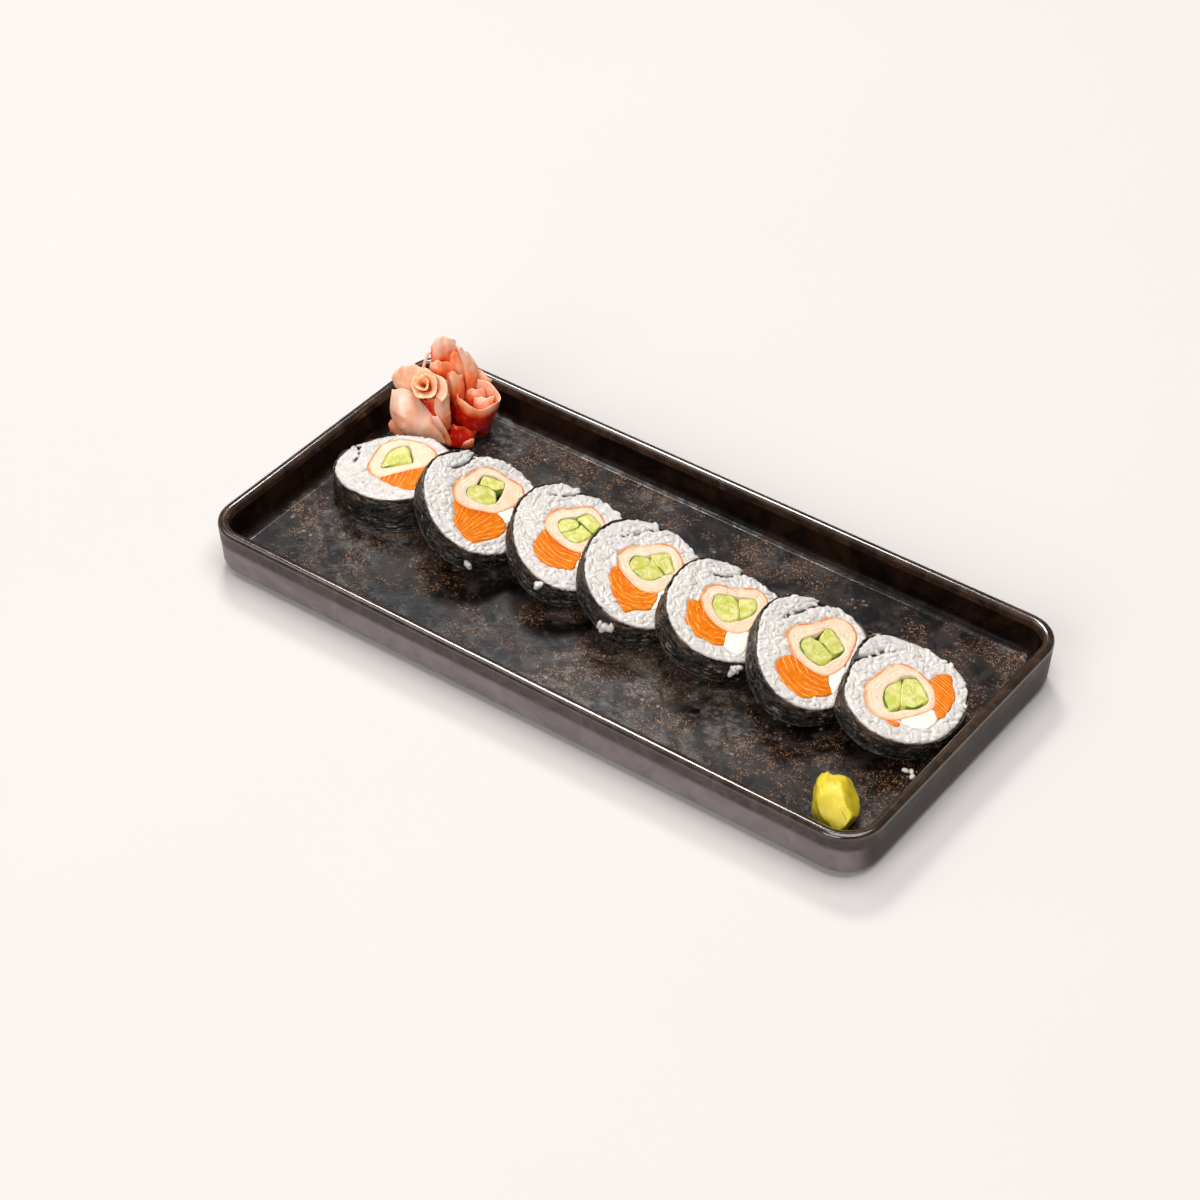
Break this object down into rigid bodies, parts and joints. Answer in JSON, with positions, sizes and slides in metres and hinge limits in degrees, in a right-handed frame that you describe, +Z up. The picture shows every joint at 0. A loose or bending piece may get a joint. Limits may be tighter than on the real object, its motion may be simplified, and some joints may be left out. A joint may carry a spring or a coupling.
{
  "type": "sushi tray",
  "caption": "Rectangular raised-rim stoneware tray holding a row of leaning thick sushi roll slices, a rosette of pickled ginger and a lump of wasabi.",
  "frame": {"origin": "centre of the bounding box at its lowest plane, which is the underside of the tray's foot", "axes": "+X along the tray's long side towards the wasabi end, +Y towards the long side with the ginger, +Z up"},
  "size_m": [0.31, 0.148, 0.0455],
  "materials": {
    "tray": "satin",
    "nori": "satin",
    "rice": "matte",
    "surimi": "satin",
    "cucumber": "satin",
    "salmon": "satin",
    "cheese": "satin",
    "wasabi": "satin",
    "ginger": "gloss"
  },
  "bodies": {
    "root": {"tray": "tray", "roll_1_nori": "nori", "roll_1_rice": "rice", "roll_1_surimi": "surimi", "roll_1_salmon": "salmon", "roll_1_cucumber_1": "cucumber", "roll_2_nori": "nori", "roll_2_rice": "rice", "roll_2_surimi": "surimi", "roll_2_salmon": "salmon", "roll_2_cucumber_1": "cucumber", "roll_2_cucumber_2": "cucumber", "roll_2_cheese": "cheese", "roll_3_nori": "nori", "roll_3_rice": "rice", "roll_3_surimi": "surimi", "roll_3_salmon": "salmon", "roll_3_cucumber_1": "cucumber", "roll_3_cucumber_2": "cucumber", "roll_3_cucumber_3": "cucumber", "roll_3_cheese": "cheese", "roll_4_nori": "nori", "roll_4_rice": "rice", "roll_4_surimi": "surimi", "roll_4_salmon": "salmon", "roll_4_cucumber_1": "cucumber", "roll_4_cucumber_2": "cucumber", "roll_4_cucumber_3": "cucumber", "roll_4_cheese": "cheese", "roll_5_nori": "nori", "roll_5_rice": "rice", "roll_5_surimi": "surimi", "roll_5_salmon": "salmon", "roll_5_cucumber_1": "cucumber", "roll_5_cucumber_2": "cucumber", "roll_5_cheese": "cheese", "roll_6_nori": "nori", "roll_6_rice": "rice", "roll_6_surimi": "surimi", "roll_6_salmon": "salmon", "roll_6_cucumber_1": "cucumber", "roll_6_cucumber_2": "cucumber", "roll_6_cheese": "cheese", "roll_7_nori": "nori", "roll_7_rice": "rice", "roll_7_surimi": "surimi", "roll_7_salmon": "salmon", "roll_7_cucumber_1": "cucumber", "roll_7_cucumber_2": "cucumber", "roll_7_cheese": "cheese", "roll_7_salmon_scrap": "salmon", "wasabi": "wasabi", "ginger_1": "ginger", "ginger_2": "ginger", "ginger_3": "ginger", "ginger_4": "ginger", "ginger_5": "ginger", "ginger_6": "ginger", "ginger_7": "ginger", "ginger_8": "ginger"}
  },
  "joints": []
}
